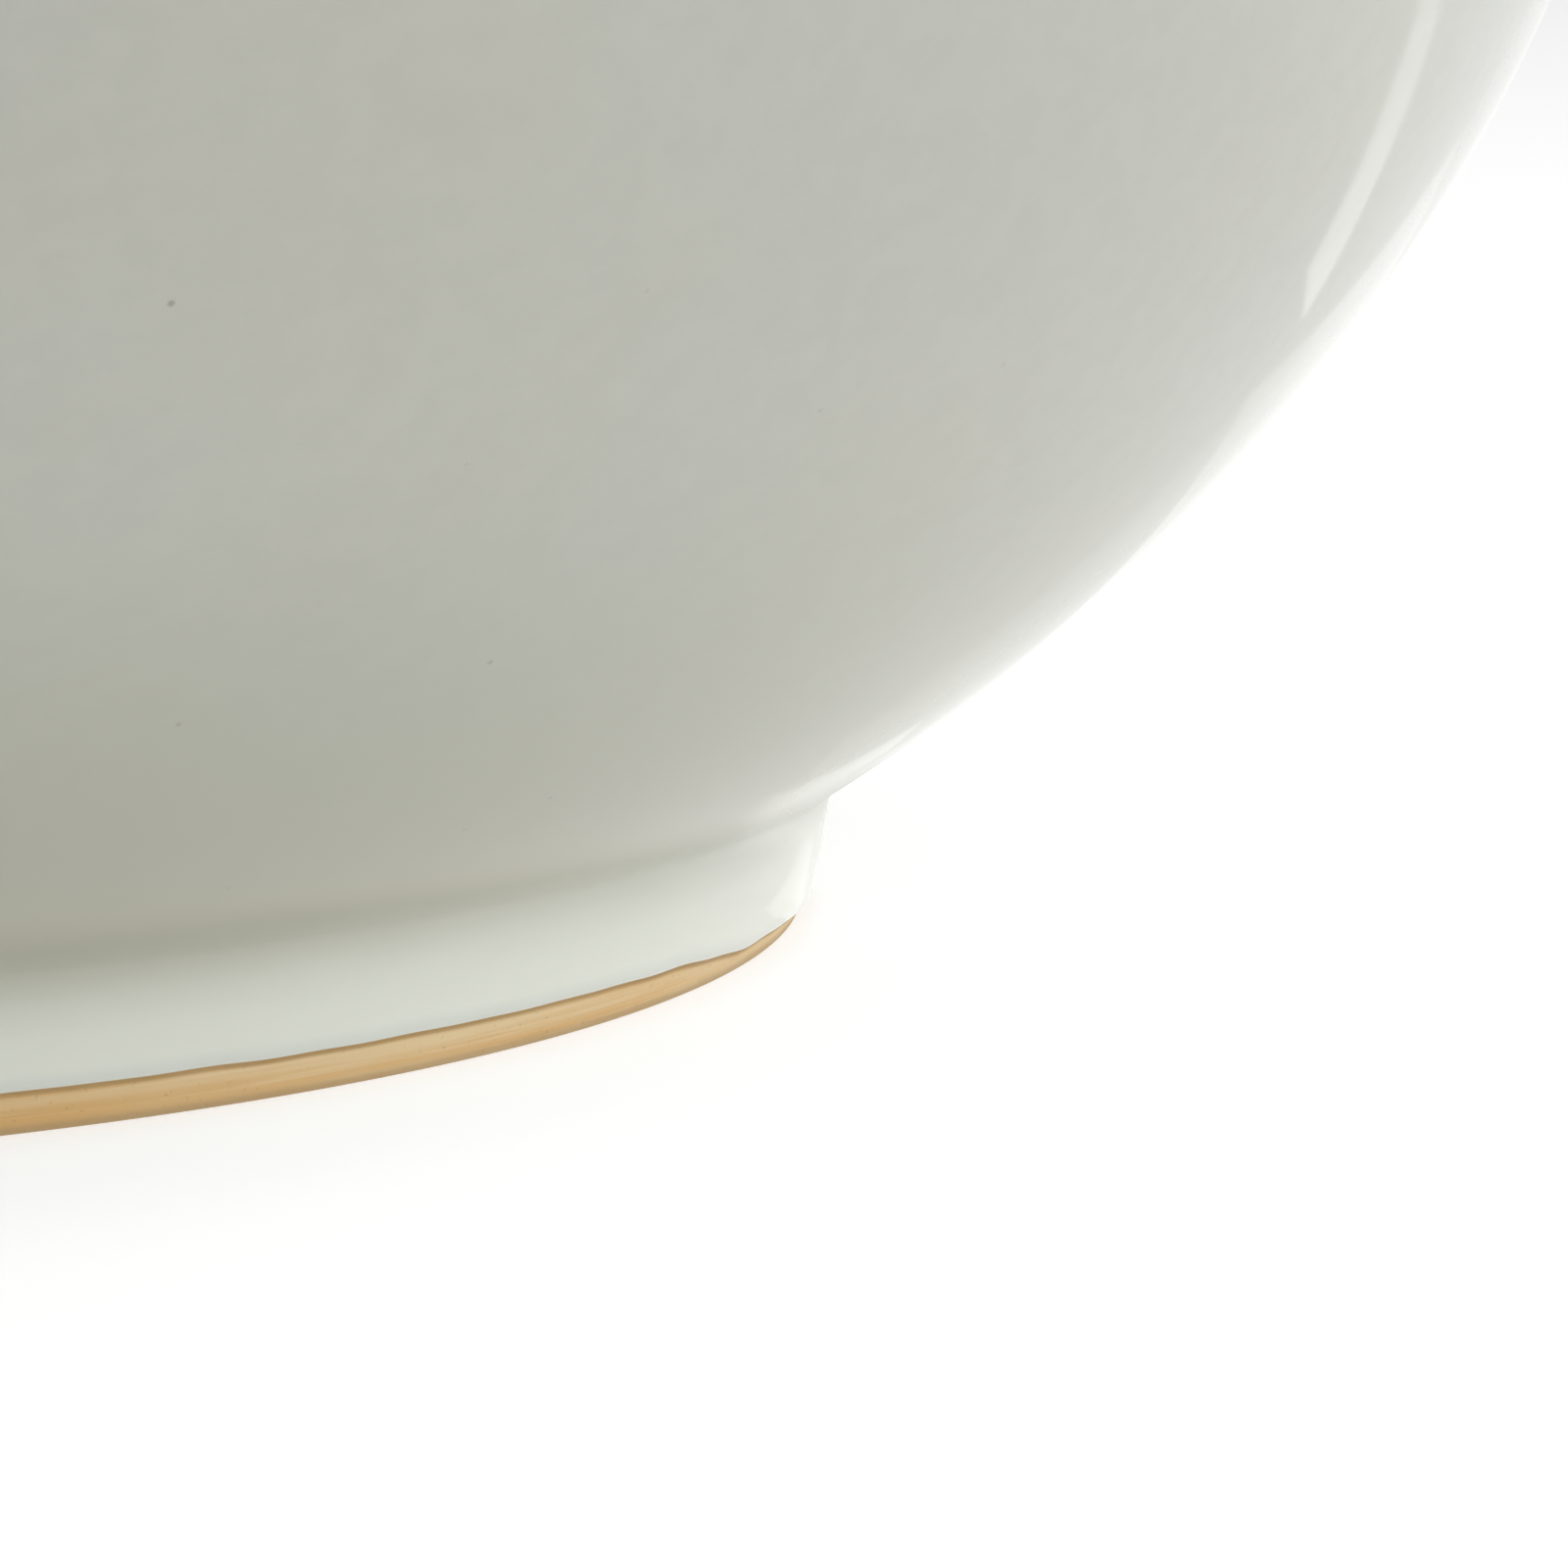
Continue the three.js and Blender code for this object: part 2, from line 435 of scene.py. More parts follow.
def outer_glaze_coat():
    heights = edge_heights(GLAZE_LINE, FOOT_HEIGHT, OUTER_EDGE_STEPS)
    side = foot_side_at(heights)
    rise = heights - GLAZE_LINE[:, None]
    edge = offset(foot_side_at(GLAZE_LINE)[:, None], PIECE_GAP)
    beyond = np.concatenate([COVE, WALL_OUTSIDE, LIP_OUTSIDE])
    uneven = undulation(11, beyond, OUTSIDE_UNEVENNESS)
    uneven[:, -LIP_STEPS:] *= np.linspace(1, 0, LIP_STEPS)
    foot_surface = offset(side, rolled_thickness(rise))
    surface = join(edge, foot_surface, offset(beyond[None], GLAZE_THICKNESS + uneven))
    thinned_side = side[:, UNDERSIDE_SIDE_START::UNDERSIDE_SIDE_STRIDE]
    thinned = join(thinned_side, beyond[::UNDERSIDE_STRIDE], beyond[-1:])
    underside = offset(thinned, PIECE_GAP)[:, ::-1]
    outline = join(surface, underside)
    rises = outline[..., 1] - GLAZE_LINE[:, None]
    return revolve("outer_glaze_coat", outline, True, {"glaze_rise": rises / MM})


def inner_glaze_coat():
    crest = LIP_OUTSIDE[-1:]
    beyond = np.concatenate([crest, LIP_INSIDE, WALL_INSIDE, FLOOR])
    uneven = undulation(12, beyond, INSIDE_UNEVENNESS)
    uneven[:, :LIP_STEPS] *= np.linspace(0, 1, LIP_STEPS)
    uneven[:, -EVEN_FLOOR_STEPS:] *= np.linspace(1, 0, EVEN_FLOOR_STEPS)
    surface = offset(beyond[None], GLAZE_THICKNESS + uneven)
    thinned = np.concatenate([beyond[::UNDERSIDE_STRIDE], beyond[-1:]])
    outline = join(offset(thinned[::-1], PIECE_GAP), surface)
    outline[..., 0] = np.maximum(outline[..., 0], 0)
    return revolve("inner_glaze_coat", outline, False)


CEILING_STEPS = 30
CEILING_RING_DEPTH = 0.015 * MM
CEILING_RING_PITCH = 3.1 * MM


def foot_well_glaze_coat():
    low = WELL_GLAZE_LINE
    side_heights = edge_heights(low, INNER_ROUND_END_HEIGHT, WELL_EDGE_STEPS)
    side = foot_inner_side_at(side_heights[:, -2::-1])
    ceiling = place(RECESS_CORNER[0] * shares(CEILING_STEPS), FOOT_HEIGHT, 0.0)
    ceiling[-1, 2] = FOOT_INNER_CORNER_ANGLE / 2
    centre = place(0.0, FOOT_HEIGHT, 0.0)[None]
    under = join(np.concatenate([centre, ceiling, RECESS_ROUNDING]), side)
    rise = under[..., 1] - low[:, None]
    flat = under[..., 2] == 0
    rings = CEILING_RING_DEPTH * np.cos(2 * math.pi * under[..., 0] / CEILING_RING_PITCH) * flat
    surface = offset(under, rolled_thickness(rise) + rings)
    edge = offset(foot_inner_side_at(low)[:, None], PIECE_GAP)
    underside = offset(under, PIECE_GAP)[:, ::-1][:, ::WELL_UNDERSIDE_STRIDE]
    ends = offset(under[:, :1], PIECE_GAP)
    outline = join(surface, edge, underside[:, :-1], ends)
    rises = outline[..., 1] - low[:, None]
    return revolve("foot_well_glaze_coat", outline, False, {"glaze_rise": rises / MM})


# The turning tool's and the sponge's marks on the bare clay: pitch in millimetres, and weight.
TURNING_MARKS = [(0.83, 1.0), (0.47, 0.7), (0.31, 0.5)]
TURNING_MARK_DEPTH = 0.006 * MM
TURNING_MARK_FADE = 0.2 * MM

# The bare clay is set back, so that the ridges of its marks reach about the foot's plain outline.
BARE_CLAY_SET_BACK = 0.012 * MM

WORN_EDGE_STEPS = 6
INNER_SIDE_STEPS = 21
BEARING_STEPS = 9
OUTER_SIDE_STEPS = 44
OUTER_SIDE_CROWDING = 1.25


def turning_marks(z, angle):
    """The fine spiral that the turning tool and the sponge leave on the bare clay."""
    waves = [
        weight * np.cos(2 * math.pi * z / (pitch * MM) + angle) for pitch, weight in TURNING_MARKS
    ]
    return TURNING_MARK_DEPTH * sum(waves)


def rounded_edge(centre_r, start_heading, end_heading):
    """The worn round between the bearing face and a side of the foot."""
    headings = np.linspace(start_heading, end_heading, WORN_EDGE_STEPS)
    r = centre_r + FOOT_EDGE_BEVEL * np.sin(headings)
    z = FOOT_EDGE_BEVEL - FOOT_EDGE_BEVEL * np.cos(headings)
    return place(r, z, headings)


def foot_ring_outline():
    """The foot ring before it has turning marks, from the corner of its recess to its top."""
    ring_top = FOOT_HEIGHT - PIECE_GAP
    top_corner = place(RECESS_CORNER[0], ring_top, FOOT_INNER_CORNER_ANGLE)[None]
    inner_heights = np.linspace(INNER_ROUND_END_HEIGHT, FOOT_EDGE_BEVEL, INNER_SIDE_STEPS + 1)[1:]
    inner_side = foot_inner_side_at(inner_heights)
    inner_centre = BEARING_INNER_RADIUS + FOOT_EDGE_BEVEL
    inner_edge = rounded_edge(inner_centre, FOOT_INNER_ANGLE, 0.0)[1:]
    outer_centre = FOOT_RADIUS - FOOT_EDGE_BEVEL * math.sin(FOOT_SIDE_LOW_ANGLE)
    bearing_r = np.linspace(inner_centre, outer_centre, BEARING_STEPS + 1)[1:-1]
    bearing = place(bearing_r, 0.0, 0.0)
    outer_edge = rounded_edge(outer_centre, 0.0, FOOT_SIDE_LOW_ANGLE)
    climb = shares(OUTER_SIDE_STEPS) ** OUTER_SIDE_CROWDING
    outer_side = foot_side_at(FOOT_EDGE_BEVEL + (ring_top - FOOT_EDGE_BEVEL) * climb)
    return all_round(
        join(top_corner, RECESS_ROUNDING, inner_side, inner_edge, bearing, outer_edge, outer_side)
    )


def turned_foot_ring():
    outline = foot_ring_outline()
    height = outline[..., 1]
    exposed = np.clip((GLAZE_LINE[:, None] - height) / TURNING_MARK_FADE, 0, 1)
    off_the_edge = np.clip((height - FOOT_EDGE_BEVEL) / TURNING_MARK_FADE, 0, 1)
    marks = turning_marks(height, ANGLES[:, None]) * exposed * off_the_edge
    outline = offset(outline, marks - BARE_CLAY_SET_BACK * exposed * off_the_edge)
    below = (GLAZE_LINE[:, None] - outline[..., 1]) / MM
    inside = (WELL_GLAZE_LINE[:, None] - outline[..., 1]) / MM
    outward = outline[..., 0] > FOOT_RADIUS - FOOT_BEARING_WIDTH / 2
    below_glaze = np.where(outward, below, inside)
    return revolve("turned_foot_ring", outline, True, {"below_glaze": below_glaze})


# The glaze and the foot ring hide the body, so it keeps only every other place of its curves.
UNDER_BASE_STEPS = 6
OVER_RING_STEPS = 3


def thrown_body():
    centre = place(0.0, FOOT_HEIGHT, 0.0)[None]
    under = place(RECESS_CORNER[0] * shares(UNDER_BASE_STEPS), FOOT_HEIGHT, 0.0)
    over_ring_r = np.linspace(RECESS_CORNER[0], NECK[0], OVER_RING_STEPS + 1)[1:]
    over_ring = place(over_ring_r, FOOT_HEIGHT, 0.0)
    outside = np.concatenate([COVE[::2], WALL_OUTSIDE[::2], LIP_OUTSIDE[::2]])
    inside = np.concatenate([LIP_INSIDE[::2], WALL_INSIDE[::2], FLOOR[1::2]])
    outline = join(np.concatenate([centre, under, over_ring, outside, inside]))
    outline[..., 0] = np.maximum(outline[..., 0], 0)
    return revolve("thrown_body", outline, False)


# ---------------------------------------------------------------------------------------------
# Materials.
# ---------------------------------------------------------------------------------------------
class Shader:
    """A material's nodes, made and linked by short calls."""

    def __init__(self, name):
        self.material = bpy.data.materials.new(name)
        self.material.use_nodes = True
        self.nodes = self.material.node_tree.nodes
        self.links = self.material.node_tree.links
        self.surface = self.nodes["Principled BSDF"]

    def feed(self, socket, value):
        if isinstance(value, bpy.types.NodeSocket):
            self.links.new(value, socket)
        else:
            socket.default_value = value

    def add(self, kind, settings=None, **inputs):
        node = self.nodes.new(kind)
        for key, value in (settings or {}).items():
            setattr(node, key, value)
        for key, value in inputs.items():
            self.feed(node.inputs[key.replace("_", " ")], value)
        return node

    def position(self):
        return self.add("ShaderNodeTexCoord").outputs["Object"]

    def height(self, vector):
        return self.add("ShaderNodeSeparateXYZ", Vector=vector).outputs["Z"]

    def uneven_height(self, vector, scale, amount):
        """The height, raised here and there by up to amount."""
        height = self.height(vector)
        uneven = self.maths("MULTIPLY", self.noise(vector, scale), amount)
        return self.maths("ADD", height, uneven)

    def measure(self, name):
        return self.add("ShaderNodeAttribute", {"attribute_name": name}).outputs["Fac"]

    def stretched(self, vector, scale):
        return self.add("ShaderNodeMapping", Vector=vector, Scale=scale).outputs["Vector"]

    def noise(self, vector, scale, detail=2.0, roughness=0.5):
        node = self.add(
            "ShaderNodeTexNoise", Vector=vector, Scale=scale, Detail=detail, Roughness=roughness
        )
        return node.outputs["Fac"]

    def ranged(self, value, low, high, to_low=0.0, to_high=1.0):
        """A value from low to high, taken smoothly to one from to_low to to_high."""
        node = self.add("ShaderNodeMapRange", {"interpolation_type": "SMOOTHSTEP"})
        for key, number in [("Value", value), ("From Min", low), ("From Max", high)]:
            self.feed(node.inputs[key], number)
        self.feed(node.inputs["To Min"], to_low)
        self.feed(node.inputs["To Max"], to_high)
        return node.outputs["Result"]

    def maths(self, operation, *values):
        node = self.add("ShaderNodeMath", {"operation": operation})
        for socket, value in zip(node.inputs, values):
            self.feed(socket, value)
        return node.outputs["Value"]

    def mixed(self, share, first, second, blend="MIX"):
        node = self.add("ShaderNodeMix", {"data_type": "RGBA", "blend_type": blend})
        self.feed(node.inputs[0], share)
        self.feed(node.inputs[6], self.colour(first))
        self.feed(node.inputs[7], self.colour(second))
        return node.outputs[2]

    @staticmethod
    def colour(value):
        return value if isinstance(value, bpy.types.NodeSocket) else (*value, 1.0)

    def bump(self, height, distance, strength=1.0, normal=None):
        node = self.add("ShaderNodeBump", Height=height, Distance=distance, Strength=strength)
        if normal is not None:
            self.feed(node.inputs["Normal"], normal)
        return node.outputs["Normal"]

    def near(self, vector, centre, radius, softness):
        """1 within radius of a point, falling to 0 over softness."""
        away = self.add("ShaderNodeVectorMath", {"operation": "DISTANCE"})
        self.feed(away.inputs[0], vector)
        away.inputs[1].default_value = centre
        return self.ranged(away.outputs["Value"], radius, radius + softness, 1.0, 0.0)


# The glaze's tones, as linear colours. Two of them are not the glaze's own colour: one is painted light and
# one is painted shade, as marked below.
GLAZE_TONE = (0.450, 0.457, 0.407)
GLAZE_COOL_TONE = (0.445, 0.457, 0.415)
GLAZE_WARM_TONE = (0.455, 0.455, 0.396)
# Painted light: the cove and the foot are painted this whiter tone, where light from the bright floor
# beside the foot falls on them.
GLAZE_FOOT_PAINTED_LIGHT_TONE = (0.725, 0.745, 0.670)
# Painted shade: the low wall is painted this darker, warmer tone.
GLAZE_LOW_PAINTED_SHADE_TONE = (0.345, 0.347, 0.277)
GLAZE_THIN_TONE = (0.55, 0.525, 0.445)
GLAZE_EDGE_TONE = (0.58, 0.615, 0.575)
IRON_TONE = (0.20, 0.19, 0.16)

# Iron specks on the outside: angle in degrees, height and size in millimetres, and strength.
IRON_SPECKS = [
    (-73.4, 47.6, 0.42, 0.55),
    (-61, 27.0, 0.38, 0.40),
    (-69.5, 25.0, 0.36, 0.35),
    (-54, 17.4, 0.34, 0.30),
    (-56.5, 16.0, 0.40, 0.18),
    (-64, 14.0, 0.40, 0.15),
    (-55, 39.8, 0.30, 0.20),
    (-49, 41.3, 0.45, 0.15),
    (-62, 47.0, 0.32, 0.18),
    (-65, 38.5, 0.30, 0.15),
    (-42.4, 3.3, 0.28, 0.55),
]

# Rare specks: cells per metre of the pattern that they are drawn in, and the size of one.
SPECK_CELLS = 46.0
WELL_SPECK_CELLS = 90.0
SPECK_SIZE = 0.0003
INNER_SPECK_SIZE = 0.00032

# Heights of the painted shade and light low on the bowl. The wall is painted warmer and darker low down, as
# painted shade that fades out towards the highest of them. From the middle one down, the cove and the foot
# are painted whiter, as painted light from the bright floor beside the foot, and this is full at the
# lowest.
PAINTED_SHADE_TOP = 44.0 * MM
PAINTED_LIGHT_TOP = 12.0 * MM
PAINTED_LIGHT_FULL = 6.2 * MM

# The glaze is less glossy in the cove. It is rougher by SATIN_ROUGHNESS between the two heights
# in the middle, and this fades out by the outer two.
SATIN_ROUGHNESS = 0.16
SATIN_TOP = 15.0 * MM
SATIN_FULL_TOP = 10.0 * MM
SATIN_FULL_BOTTOM = 7.0 * MM
SATIN_BOTTOM = 5.0 * MM

# Where the glaze is thin on the lip, as heights from the rim.
THIN_START = -1.1 * MM
THIN_FULL = 0.3 * MM


def outer_radius_at(height):
    """The radius of the glazed outside at a height. Below the neck it is the neck's."""
    surface = offset(np.concatenate([NECK[None], COVE, WALL_OUTSIDE]), GLAZE_THICKNESS)
    return float(np.interp(height, surface[:, 1], surface[:, 0]))


def glaze_colour(shader, where):
    clouds = shader.ranged(shader.noise(where, 16.0, 3.0), 0.36, 0.64)
    drift = shader.ranged(shader.noise(where, 47.0, 2.0, 0.6), 0.3, 0.7)
    base = shader.mixed(clouds, GLAZE_COOL_TONE, GLAZE_WARM_TONE)
    base = shader.mixed(shader.maths("MULTIPLY", drift, 0.5), base, GLAZE_TONE)
    mottle = shader.ranged(shader.noise(where, 420.0, 3.0, 0.6), 0.35, 0.65, 0.985, 1.01)
    return shader.mixed(1.0, base, mottle, "MULTIPLY")


def scattered_specks(shader, where, base, per_metre, least, size):
    """Rare specks: one in each cell of a pattern, kept only in the cells that drew high."""
    cells = shader.add("ShaderNodeTexVoronoi", Vector=where, Scale=per_metre)
    drawn = shader.add("ShaderNodeSeparateColor", Color=cells.outputs["Color"])
    kept = shader.maths("GREATER_THAN", drawn.outputs[0], least)
    reach = size * per_metre
    spot = shader.ranged(cells.outputs["Distance"], 0.45 * reach, reach, 1.0, 0.0)
    strength = shader.maths("MULTIPLY", drawn.outputs[1], 0.6)
    share = shader.maths("MULTIPLY", shader.maths("MULTIPLY", kept, spot), strength)
    return shader.mixed(share, base, IRON_TONE)


def glaze_surface(shader, where, base):
    surface = shader.surface
    shader.feed(surface.inputs["Base Color"], base)
    sheen = shader.ranged(shader.noise(where, 70.0, 3.0), 0.3, 0.7, 0.035, 0.075)
    height = shader.height(where)
    above = shader.ranged(height, SATIN_BOTTOM, SATIN_FULL_BOTTOM)
    below = shader.ranged(height, SATIN_FULL_TOP, SATIN_TOP, SATIN_ROUGHNESS, 0.0)
    shader.feed(surface.inputs["Roughness"], shader.maths("MULTIPLY_ADD", above, below, sheen))
    surface.inputs["IOR"].default_value = 1.5
    peel = shader.noise(where, 650.0, 2.0, 0.4)
    pits = shader.noise(where, 190.0, 1.0, 0.4)
    shallow = shader.bump(pits, 0.003 * MM)
    shader.feed(surface.inputs["Normal"], shader.bump(peel, 0.0008 * MM, normal=shallow))


def thinned_on_the_lip(shader, where, base):
    raised = shader.uneven_height(where, 90.0, 0.7 * MM)
    share = shader.ranged(raised, BOWL_HEIGHT + THIN_START, BOWL_HEIGHT + THIN_FULL, 0.0, 0.7)
    return shader.mixed(share, base, GLAZE_THIN_TONE)


def painted_shade_and_light_low_down(shader, where, base):
    """The wall is painted warmer and darker low down, as painted shade. The cove and the foot are painted
    whiter, as painted light from the bright floor beside the foot."""
    raised = shader.uneven_height(where, 30.0, 1.5 * MM)
    # Painted shade: the wall is painted warmer and darker low down.
    low_painted_shade = shader.ranged(raised, PAINTED_LIGHT_TOP, PAINTED_SHADE_TOP, 1.0, 0.0)
    base = shader.mixed(low_painted_shade, base, GLAZE_LOW_PAINTED_SHADE_TONE)
    # Painted light: the cove and the foot are painted whiter, as if lit by the bright floor beside them.
    foot_painted_light = shader.ranged(raised, PAINTED_LIGHT_FULL, PAINTED_LIGHT_TOP, 1.0, 0.0)
    return shader.mixed(foot_painted_light, base, GLAZE_FOOT_PAINTED_LIGHT_TONE)


def rim_of_glaze(shader, base):
    """Just above its lower edge the glaze is thicker and looks bluer, and the very edge is burnt."""
    rise = shader.measure("glaze_rise")
    share = shader.ranged(rise, 0.1, 1.2, 0.8, 0.0)
    base = shader.mixed(share, base, GLAZE_EDGE_TONE)
    soaked = shader.ranged(rise, 0.0, 0.1, 0.7, 0.0)
    return shader.mixed(soaked, base, CLAY_BURNT_TONE)


def outer_glaze_material():
    shader = Shader("white_glaze_outside")
    where = shader.position()
    base = glaze_colour(shader, where)
    base = thinned_on_the_lip(shader, where, base)
    base = painted_shade_and_light_low_down(shader, where, base)
    base = scattered_specks(shader, where, base, SPECK_CELLS, 0.9, SPECK_SIZE)
    for degrees, height, size, strength in IRON_SPECKS:
        angle = math.radians(degrees)
        r = outer_radius_at(height * MM)
        centre = (r * math.cos(angle), r * math.sin(angle), height * MM)
        radius = size * MM / 2
        spot = shader.near(where, centre, 0.35 * radius, radius)
        base = shader.mixed(shader.maths("MULTIPLY", spot, strength), base, IRON_TONE)
    glaze_surface(shader, where, rim_of_glaze(shader, base))
    return shader.material


def inner_glaze_material():
    shader = Shader("white_glaze_inside")
    where = shader.position()
    base = glaze_colour(shader, where)
    base = thinned_on_the_lip(shader, where, base)
    base = scattered_specks(shader, where, base, SPECK_CELLS, 0.88, INNER_SPECK_SIZE)
    glaze_surface(shader, where, base)
    return shader.material


def foot_well_glaze_material():
    shader = Shader("white_glaze_foot_well")
    where = shader.position()
    base = glaze_colour(shader, where)
    base = scattered_specks(shader, where, base, WELL_SPECK_CELLS, 0.8, SPECK_SIZE)
    glaze_surface(shader, where, rim_of_glaze(shader, base))
    return shader.material


# The clay's tones, as linear colours.
CLAY_TONE = (0.65, 0.44, 0.205)
CLAY_PALE_TONE = (0.72, 0.56, 0.33)
CLAY_ORANGE_TONE = (0.62, 0.39, 0.155)
CLAY_BURNT_TONE = (0.43, 0.275, 0.11)
# Painted shade: the foot's bottom edge is painted this darker tone, where it turns under.
CLAY_PAINTED_SHADE_TONE = (0.40, 0.285, 0.15)
CLAY_GRIT_TONE = (0.36, 0.24, 0.12)


def clay_surface(shader, where, base, grain_depth):
    grit = shader.noise(where, 2600.0, 3.0, 0.6)
    base = shader.mixed(shader.ranged(grit, 0.62, 0.72, 0.0, 0.45), base, CLAY_GRIT_TONE)
    shader.feed(shader.surface.inputs["Base Color"], base)
    dry = shader.ranged(shader.noise(where, 300.0, 3.0), 0.3, 0.7, 0.62, 0.85)
    shader.feed(shader.surface.inputs["Roughness"], dry)
    shader.surface.inputs["IOR"].default_value = 1.45
    lines = shader.noise(shader.stretched(where, (60.0, 60.0, 5200.0)), 1.0, 3.0, 0.6)
    turned = shader.bump(lines, 0.02 * MM)
    shader.feed(shader.surface.inputs["Normal"], shader.bump(grit, grain_depth, normal=turned))


def foot_clay_material():
    """Bare clay that the kiln has flashed tan, with a burnt line where the glaze stops, a painted highlight
    band a little below that line, and painted shade along its bottom edge.
    """
    shader = Shader("bare_foot_clay")
    where = shader.position()
    height = shader.height(where)
    streaks = shader.noise(shader.stretched(where, (35.0, 35.0, 2400.0)), 1.0, 3.0, 0.6)
    patches = shader.noise(where, 60.0, 2.0)
    base = shader.mixed(shader.ranged(patches, 0.3, 0.7), CLAY_TONE, CLAY_ORANGE_TONE)
    base = shader.mixed(shader.ranged(streaks, 0.42, 0.66, 0.0, 0.75), base, CLAY_PALE_TONE)
    below = shader.measure("below_glaze")
    # Painted highlight: a pale band a little below the glaze's edge, where light catches a ridge on the
    # foot.
    painted_highlight_band = shader.maths(
        "MULTIPLY", shader.ranged(below, 0.2, 0.55), shader.ranged(below, 0.75, 1.25, 1.0, 0.0)
    )
    base = shader.mixed(shader.maths("MULTIPLY", painted_highlight_band, 0.55), base, CLAY_PALE_TONE)
    base = shader.mixed(shader.ranged(below, 0.16, 0.46, 0.9, 0.0), base, CLAY_BURNT_TONE)
    # Painted shade: the clay is painted darker towards the bottom edge of the foot.
    base = shader.mixed(shader.ranged(height, 0.1 * MM, 0.8 * MM, 0.8, 0.0), base, CLAY_PAINTED_SHADE_TONE)
    clay_surface(shader, where, base, 0.008 * MM)
    return shader.material


def body_clay_material():
    shader = Shader("body_clay")
    where = shader.position()
    clouds = shader.ranged(shader.noise(where, 40.0, 3.0), 0.3, 0.7)
    clay_surface(shader, where, shader.mixed(clouds, CLAY_PALE_TONE, CLAY_TONE), 0.01 * MM)
    return shader.material


# ---------------------------------------------------------------------------------------------
# Stage: a pale floor that glows like a light table, soft lights, and the camera.
# ---------------------------------------------------------------------------------------------
FLOOR_SIZE = 12.0
FLOOR_TONE = (0.45, 0.45, 0.45)
FLOOR_GLOW = 0.64

# The sky's strength. It is dim from SKY_FADE up, where a direction's height goes from 0 at the
# horizon to 1 overhead.
SKY_AT_THE_HORIZON = 0.8
SKY_OVERHEAD = 0.15
SKY_FADE = 0.3


def stage_floor():
    half = FLOOR_SIZE / 2
    mesh = bpy.data.meshes.new("floor")
    corners = [(-half, -half, 0), (half, -half, 0), (half, half, 0), (-half, half, 0)]
    mesh.from_pydata(corners, [], [(0, 1, 2, 3)])
    shader = Shader("pale_floor")
    shader.surface.inputs["Base Color"].default_value = (*FLOOR_TONE, 1.0)
    shader.surface.inputs["Roughness"].default_value = 0.9
    shader.surface.inputs["Emission Color"].default_value = (1.0, 1.0, 1.0, 1.0)
    shader.surface.inputs["Emission Strength"].default_value = FLOOR_GLOW
    mesh.materials.append(shader.material)
    floor = bpy.data.objects.new("floor", mesh)
    bpy.context.scene.collection.objects.link(floor)


def sky():
    """A soft sky that is pale at the horizon and dimmer overhead, by the height of its direction."""
    world = bpy.data.worlds.new("soft_sky")
    world.use_nodes = True
    nodes, links = world.node_tree.nodes, world.node_tree.links
    nodes["Background"].inputs["Color"].default_value = (1.0, 1.0, 1.0, 1.0)
    direction = nodes.new("ShaderNodeTexCoord")
    split = nodes.new("ShaderNodeSeparateXYZ")
    strength = nodes.new("ShaderNodeMapRange")
    strength.inputs["From Max"].default_value = SKY_FADE
    strength.inputs["To Min"].default_value = SKY_AT_THE_HORIZON
    strength.inputs["To Max"].default_value = SKY_OVERHEAD
    links.new(direction.outputs["Generated"], split.inputs["Vector"])
    links.new(split.outputs["Z"], strength.inputs["Value"])
    links.new(strength.outputs["Result"], nodes["Background"].inputs["Strength"])
    bpy.context.scene.world = world


def area_light(name, location, width, length, power):
    light = bpy.data.lights.new(name, "AREA")
    light.shape = "RECTANGLE"
    light.size = width
    light.size_y = length
    light.energy = power
    lamp = bpy.data.objects.new(name, light)
    lamp.location = location
    lamp.visible_camera = False
    bpy.context.scene.collection.objects.link(lamp)
    return lamp


def softbox(name, location, width, height, power):
    """A soft light that faces the middle of the bowl."""
    lamp = area_light(name, location, width, height, power)
    middle = Vector((0.0, 0.0, BOWL_HEIGHT / 2))
    lamp.rotation_euler = (middle - Vector(location)).to_track_quat("-Z", "Y").to_euler()


# The lights that lie on the floor and face up, as a light table's do, are this far above it. The
# long highlights on the right of the wall and foot are their reflections.
TABLE_LIGHT_HEIGHT = 0.4 * MM


def table_light(name, corner, azimuth_degrees, left, length, radiance):
    """A lit strip of floor. One edge runs length metres from corner, at an azimuth from +Y towards
    +X, and the strip is left metres wide to the left of it."""
    azimuth = math.radians(azimuth_degrees)
    ahead = Vector((math.sin(azimuth), math.cos(azimuth), 0.0))
    aside = Vector((-math.cos(azimuth), math.sin(azimuth), 0.0))
    centre = Vector((*corner, TABLE_LIGHT_HEIGHT)) + ahead * length / 2 + aside * left / 2
    lamp = area_light(name, centre, left, length, radiance * math.pi * left * length)
    lamp.rotation_euler = (math.pi, 0.0, -azimuth)


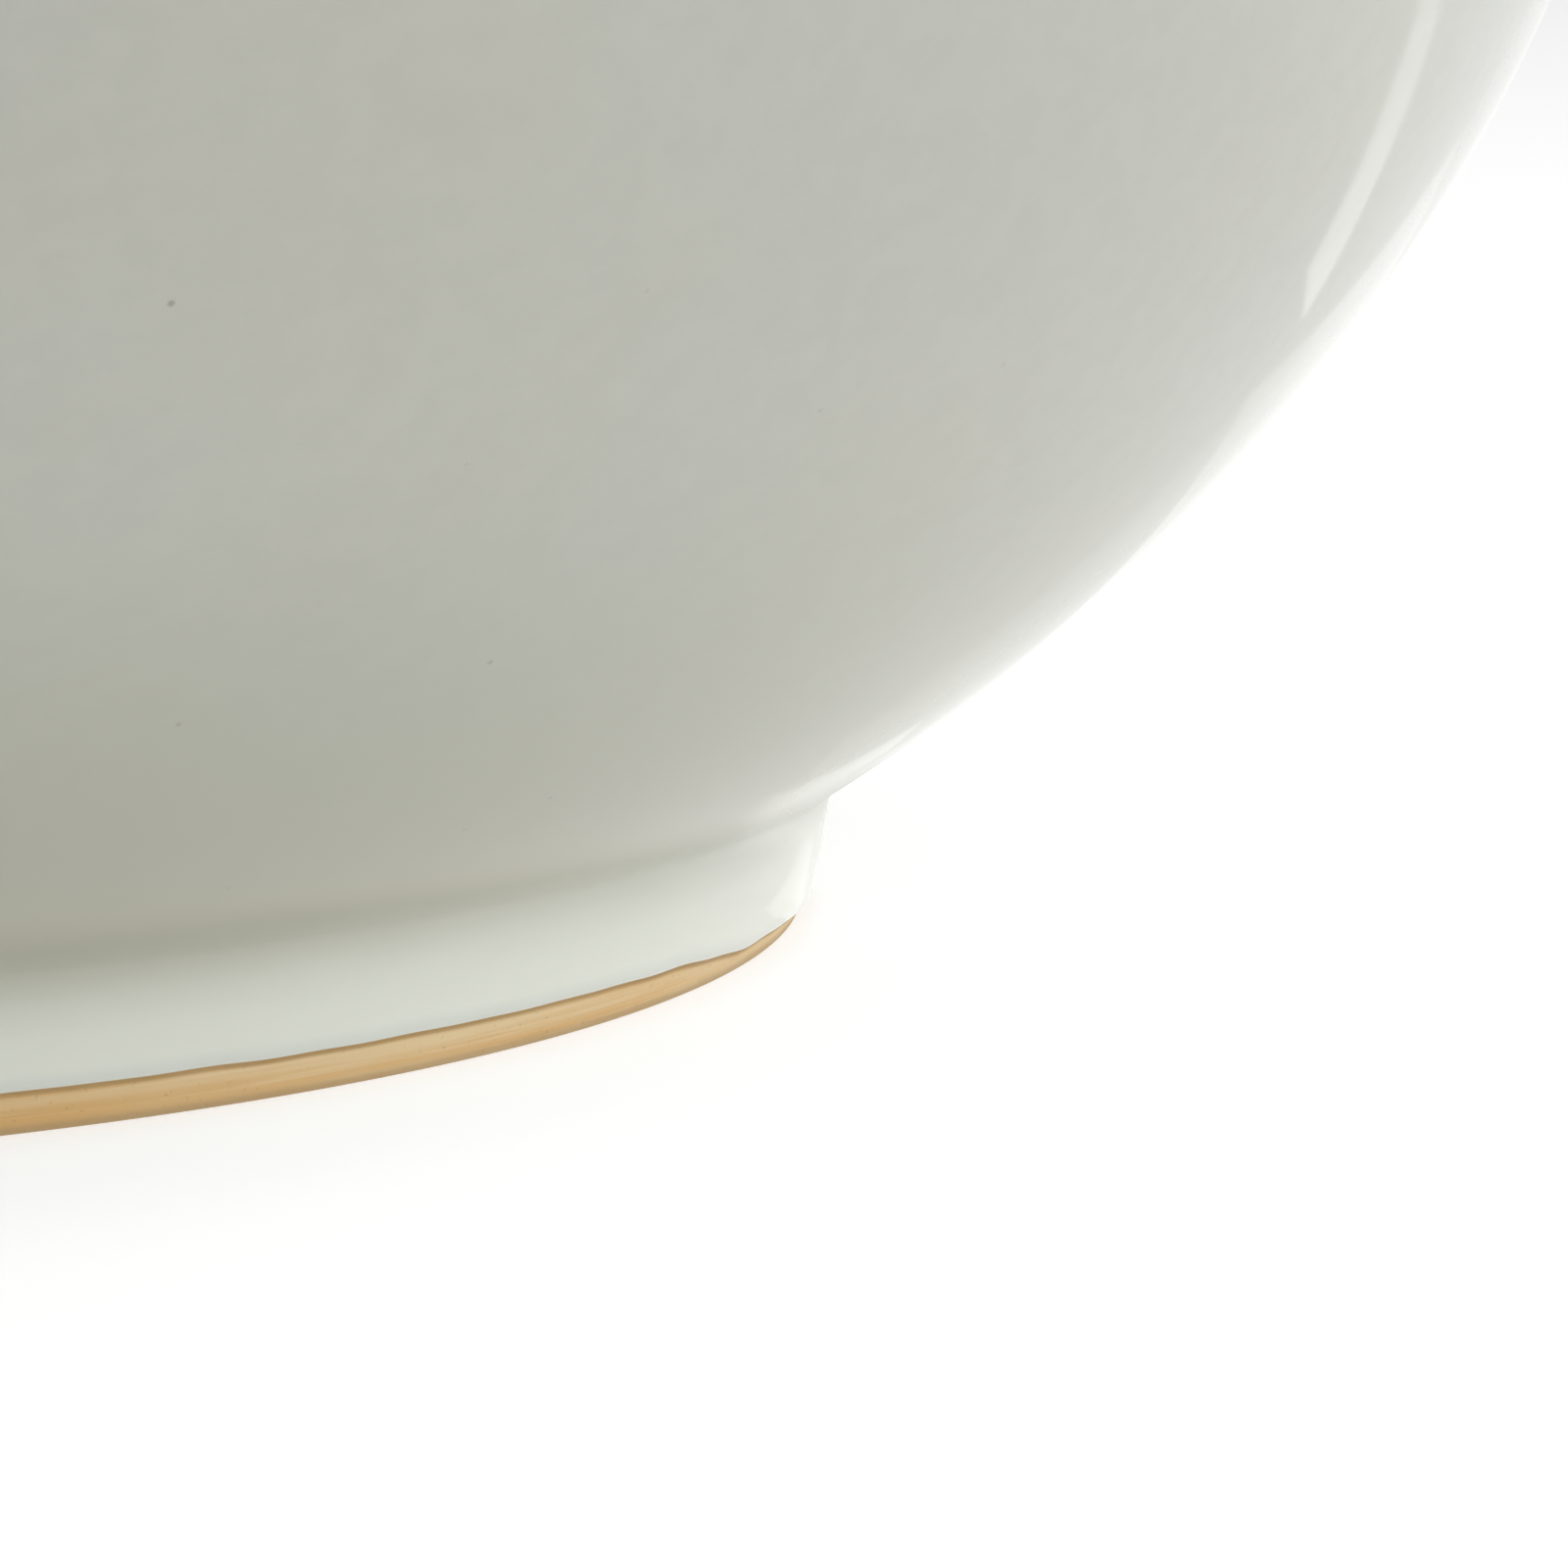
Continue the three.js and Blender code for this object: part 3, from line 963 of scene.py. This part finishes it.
def lights():
    softbox("right_high_softbox", (0.9, -0.2, 1.0), 0.7, 0.7, 9.0)
    softbox("front_right_softbox", (0.8, -0.75, 0.8), 0.8, 0.5, 5.4)
    softbox("back_right_softbox", (1.3, 1.6, 0.9), 1.1, 0.8, 3.0)
    softbox("back_left_softbox", (-1.2, 0.9, 1.0), 0.9, 0.9, 14.0)
    table_light("far_table_light", (0.265, 0.193), 31.1, 0.45, 0.75, 0.06)
    table_light("middle_table_light", (0.167, 0.030), 31.1, 0.25, 0.19, 0.17)
    table_light("near_table_light", (0.099, -0.034), 46.7, 0.06, 0.094, 0.05)
    table_light("edge_table_light", (0.188, 0.0205), 70.0, 0.018, 0.105, 0.50)
    table_light("foot_table_light", (0.0915, -0.034), 29.5, 0.0045, 0.036, 0.19)


# The camera stands on the side of -Y. Its elevation, yaw and pitch are in radians, and its distance is from
# the origin.
CAMERA_DISTANCE = 0.465
CAMERA_ELEVATION = 0.15947
CAMERA_YAW = 0.20169
CAMERA_PITCH = 0.14654
CAMERA_LENS = 163.125
CAMERA_SENSOR = 36.0


def camera():
    data = bpy.data.cameras.new("camera")
    data.lens = CAMERA_LENS
    data.sensor_width = CAMERA_SENSOR
    data.clip_start = 0.02
    data.clip_end = 50.0
    eye = bpy.data.objects.new("camera", data)
    eye.location = (
        0.0,
        -CAMERA_DISTANCE * math.cos(CAMERA_ELEVATION),
        CAMERA_DISTANCE * math.sin(CAMERA_ELEVATION),
    )
    eye.rotation_euler = (math.pi / 2 - CAMERA_PITCH, 0.0, -CAMERA_YAW)
    bpy.context.scene.collection.objects.link(eye)
    bpy.context.scene.camera = eye


# ---------------------------------------------------------------------------------------------
# The bowl.
# ---------------------------------------------------------------------------------------------
def dress(piece, node, material):
    piece.data.materials.append(material)
    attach(piece, "root")
    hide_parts(node)


dress(thrown_body(), "bowl_body", body_clay_material())
dress(turned_foot_ring(), "foot_ring", foot_clay_material())
dress(outer_glaze_coat(), "outer_glaze", outer_glaze_material())
dress(inner_glaze_coat(), "inner_glaze", inner_glaze_material())
dress(foot_well_glaze_coat(), "foot_well_glaze", foot_well_glaze_material())

stage_floor()
sky()
lights()
camera()
bpy.context.scene.view_settings.view_transform = "Standard"
